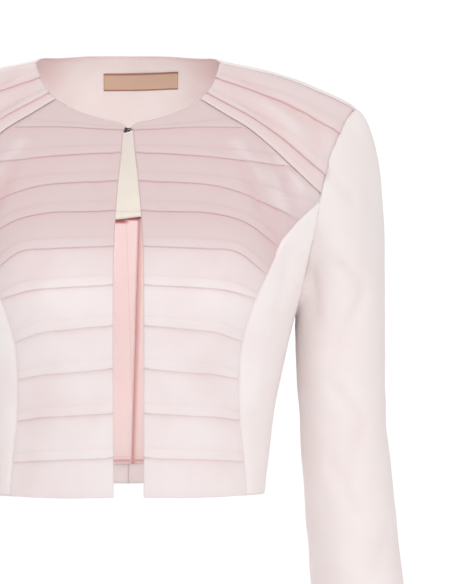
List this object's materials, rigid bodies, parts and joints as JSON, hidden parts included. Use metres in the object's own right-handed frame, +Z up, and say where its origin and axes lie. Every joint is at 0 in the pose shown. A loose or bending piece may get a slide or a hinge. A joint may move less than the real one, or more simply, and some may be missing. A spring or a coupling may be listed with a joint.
{
  "type": "bolero jacket",
  "caption": "Cropped pale pink bolero jacket with tucked front panels and yokes, plain long sleeves and a hook and eye at the round neck.",
  "frame": {"origin": "centre plane, level with the shoulders' neck ends, in the plane of the side seams", "axes": "+X to the wearer's left, -Y to the front, +Z up"},
  "size_m": [0.503, 0.2372, 0.6112],
  "materials": {
    "front_left": "woven cloth",
    "front_right": "woven cloth",
    "yoke_left": "woven cloth",
    "yoke_right": "woven cloth",
    "side_left": "woven cloth",
    "side_right": "woven cloth",
    "back_left": "woven cloth",
    "back_right": "woven cloth",
    "sleeve_left": "woven cloth",
    "sleeve_right": "woven cloth",
    "neck_facing": "woven cloth",
    "lining_left": "woven cloth",
    "lining_right": "woven cloth",
    "label": "woven cloth",
    "hook": "black enamel",
    "eye": "black enamel"
  },
  "bodies": {
    "root": {"front_left": "front_left", "front_right": "front_right", "yoke_left": "yoke_left", "yoke_right": "yoke_right", "side_left": "side_left", "side_right": "side_right", "back_left": "back_left", "back_right": "back_right", "sleeve_left": "sleeve_left", "sleeve_right": "sleeve_right", "neck_facing": "neck_facing", "lining_left": "lining_left", "lining_right": "lining_right", "label": "label", "hook": "hook", "eye": "eye"}
  },
  "joints": []
}
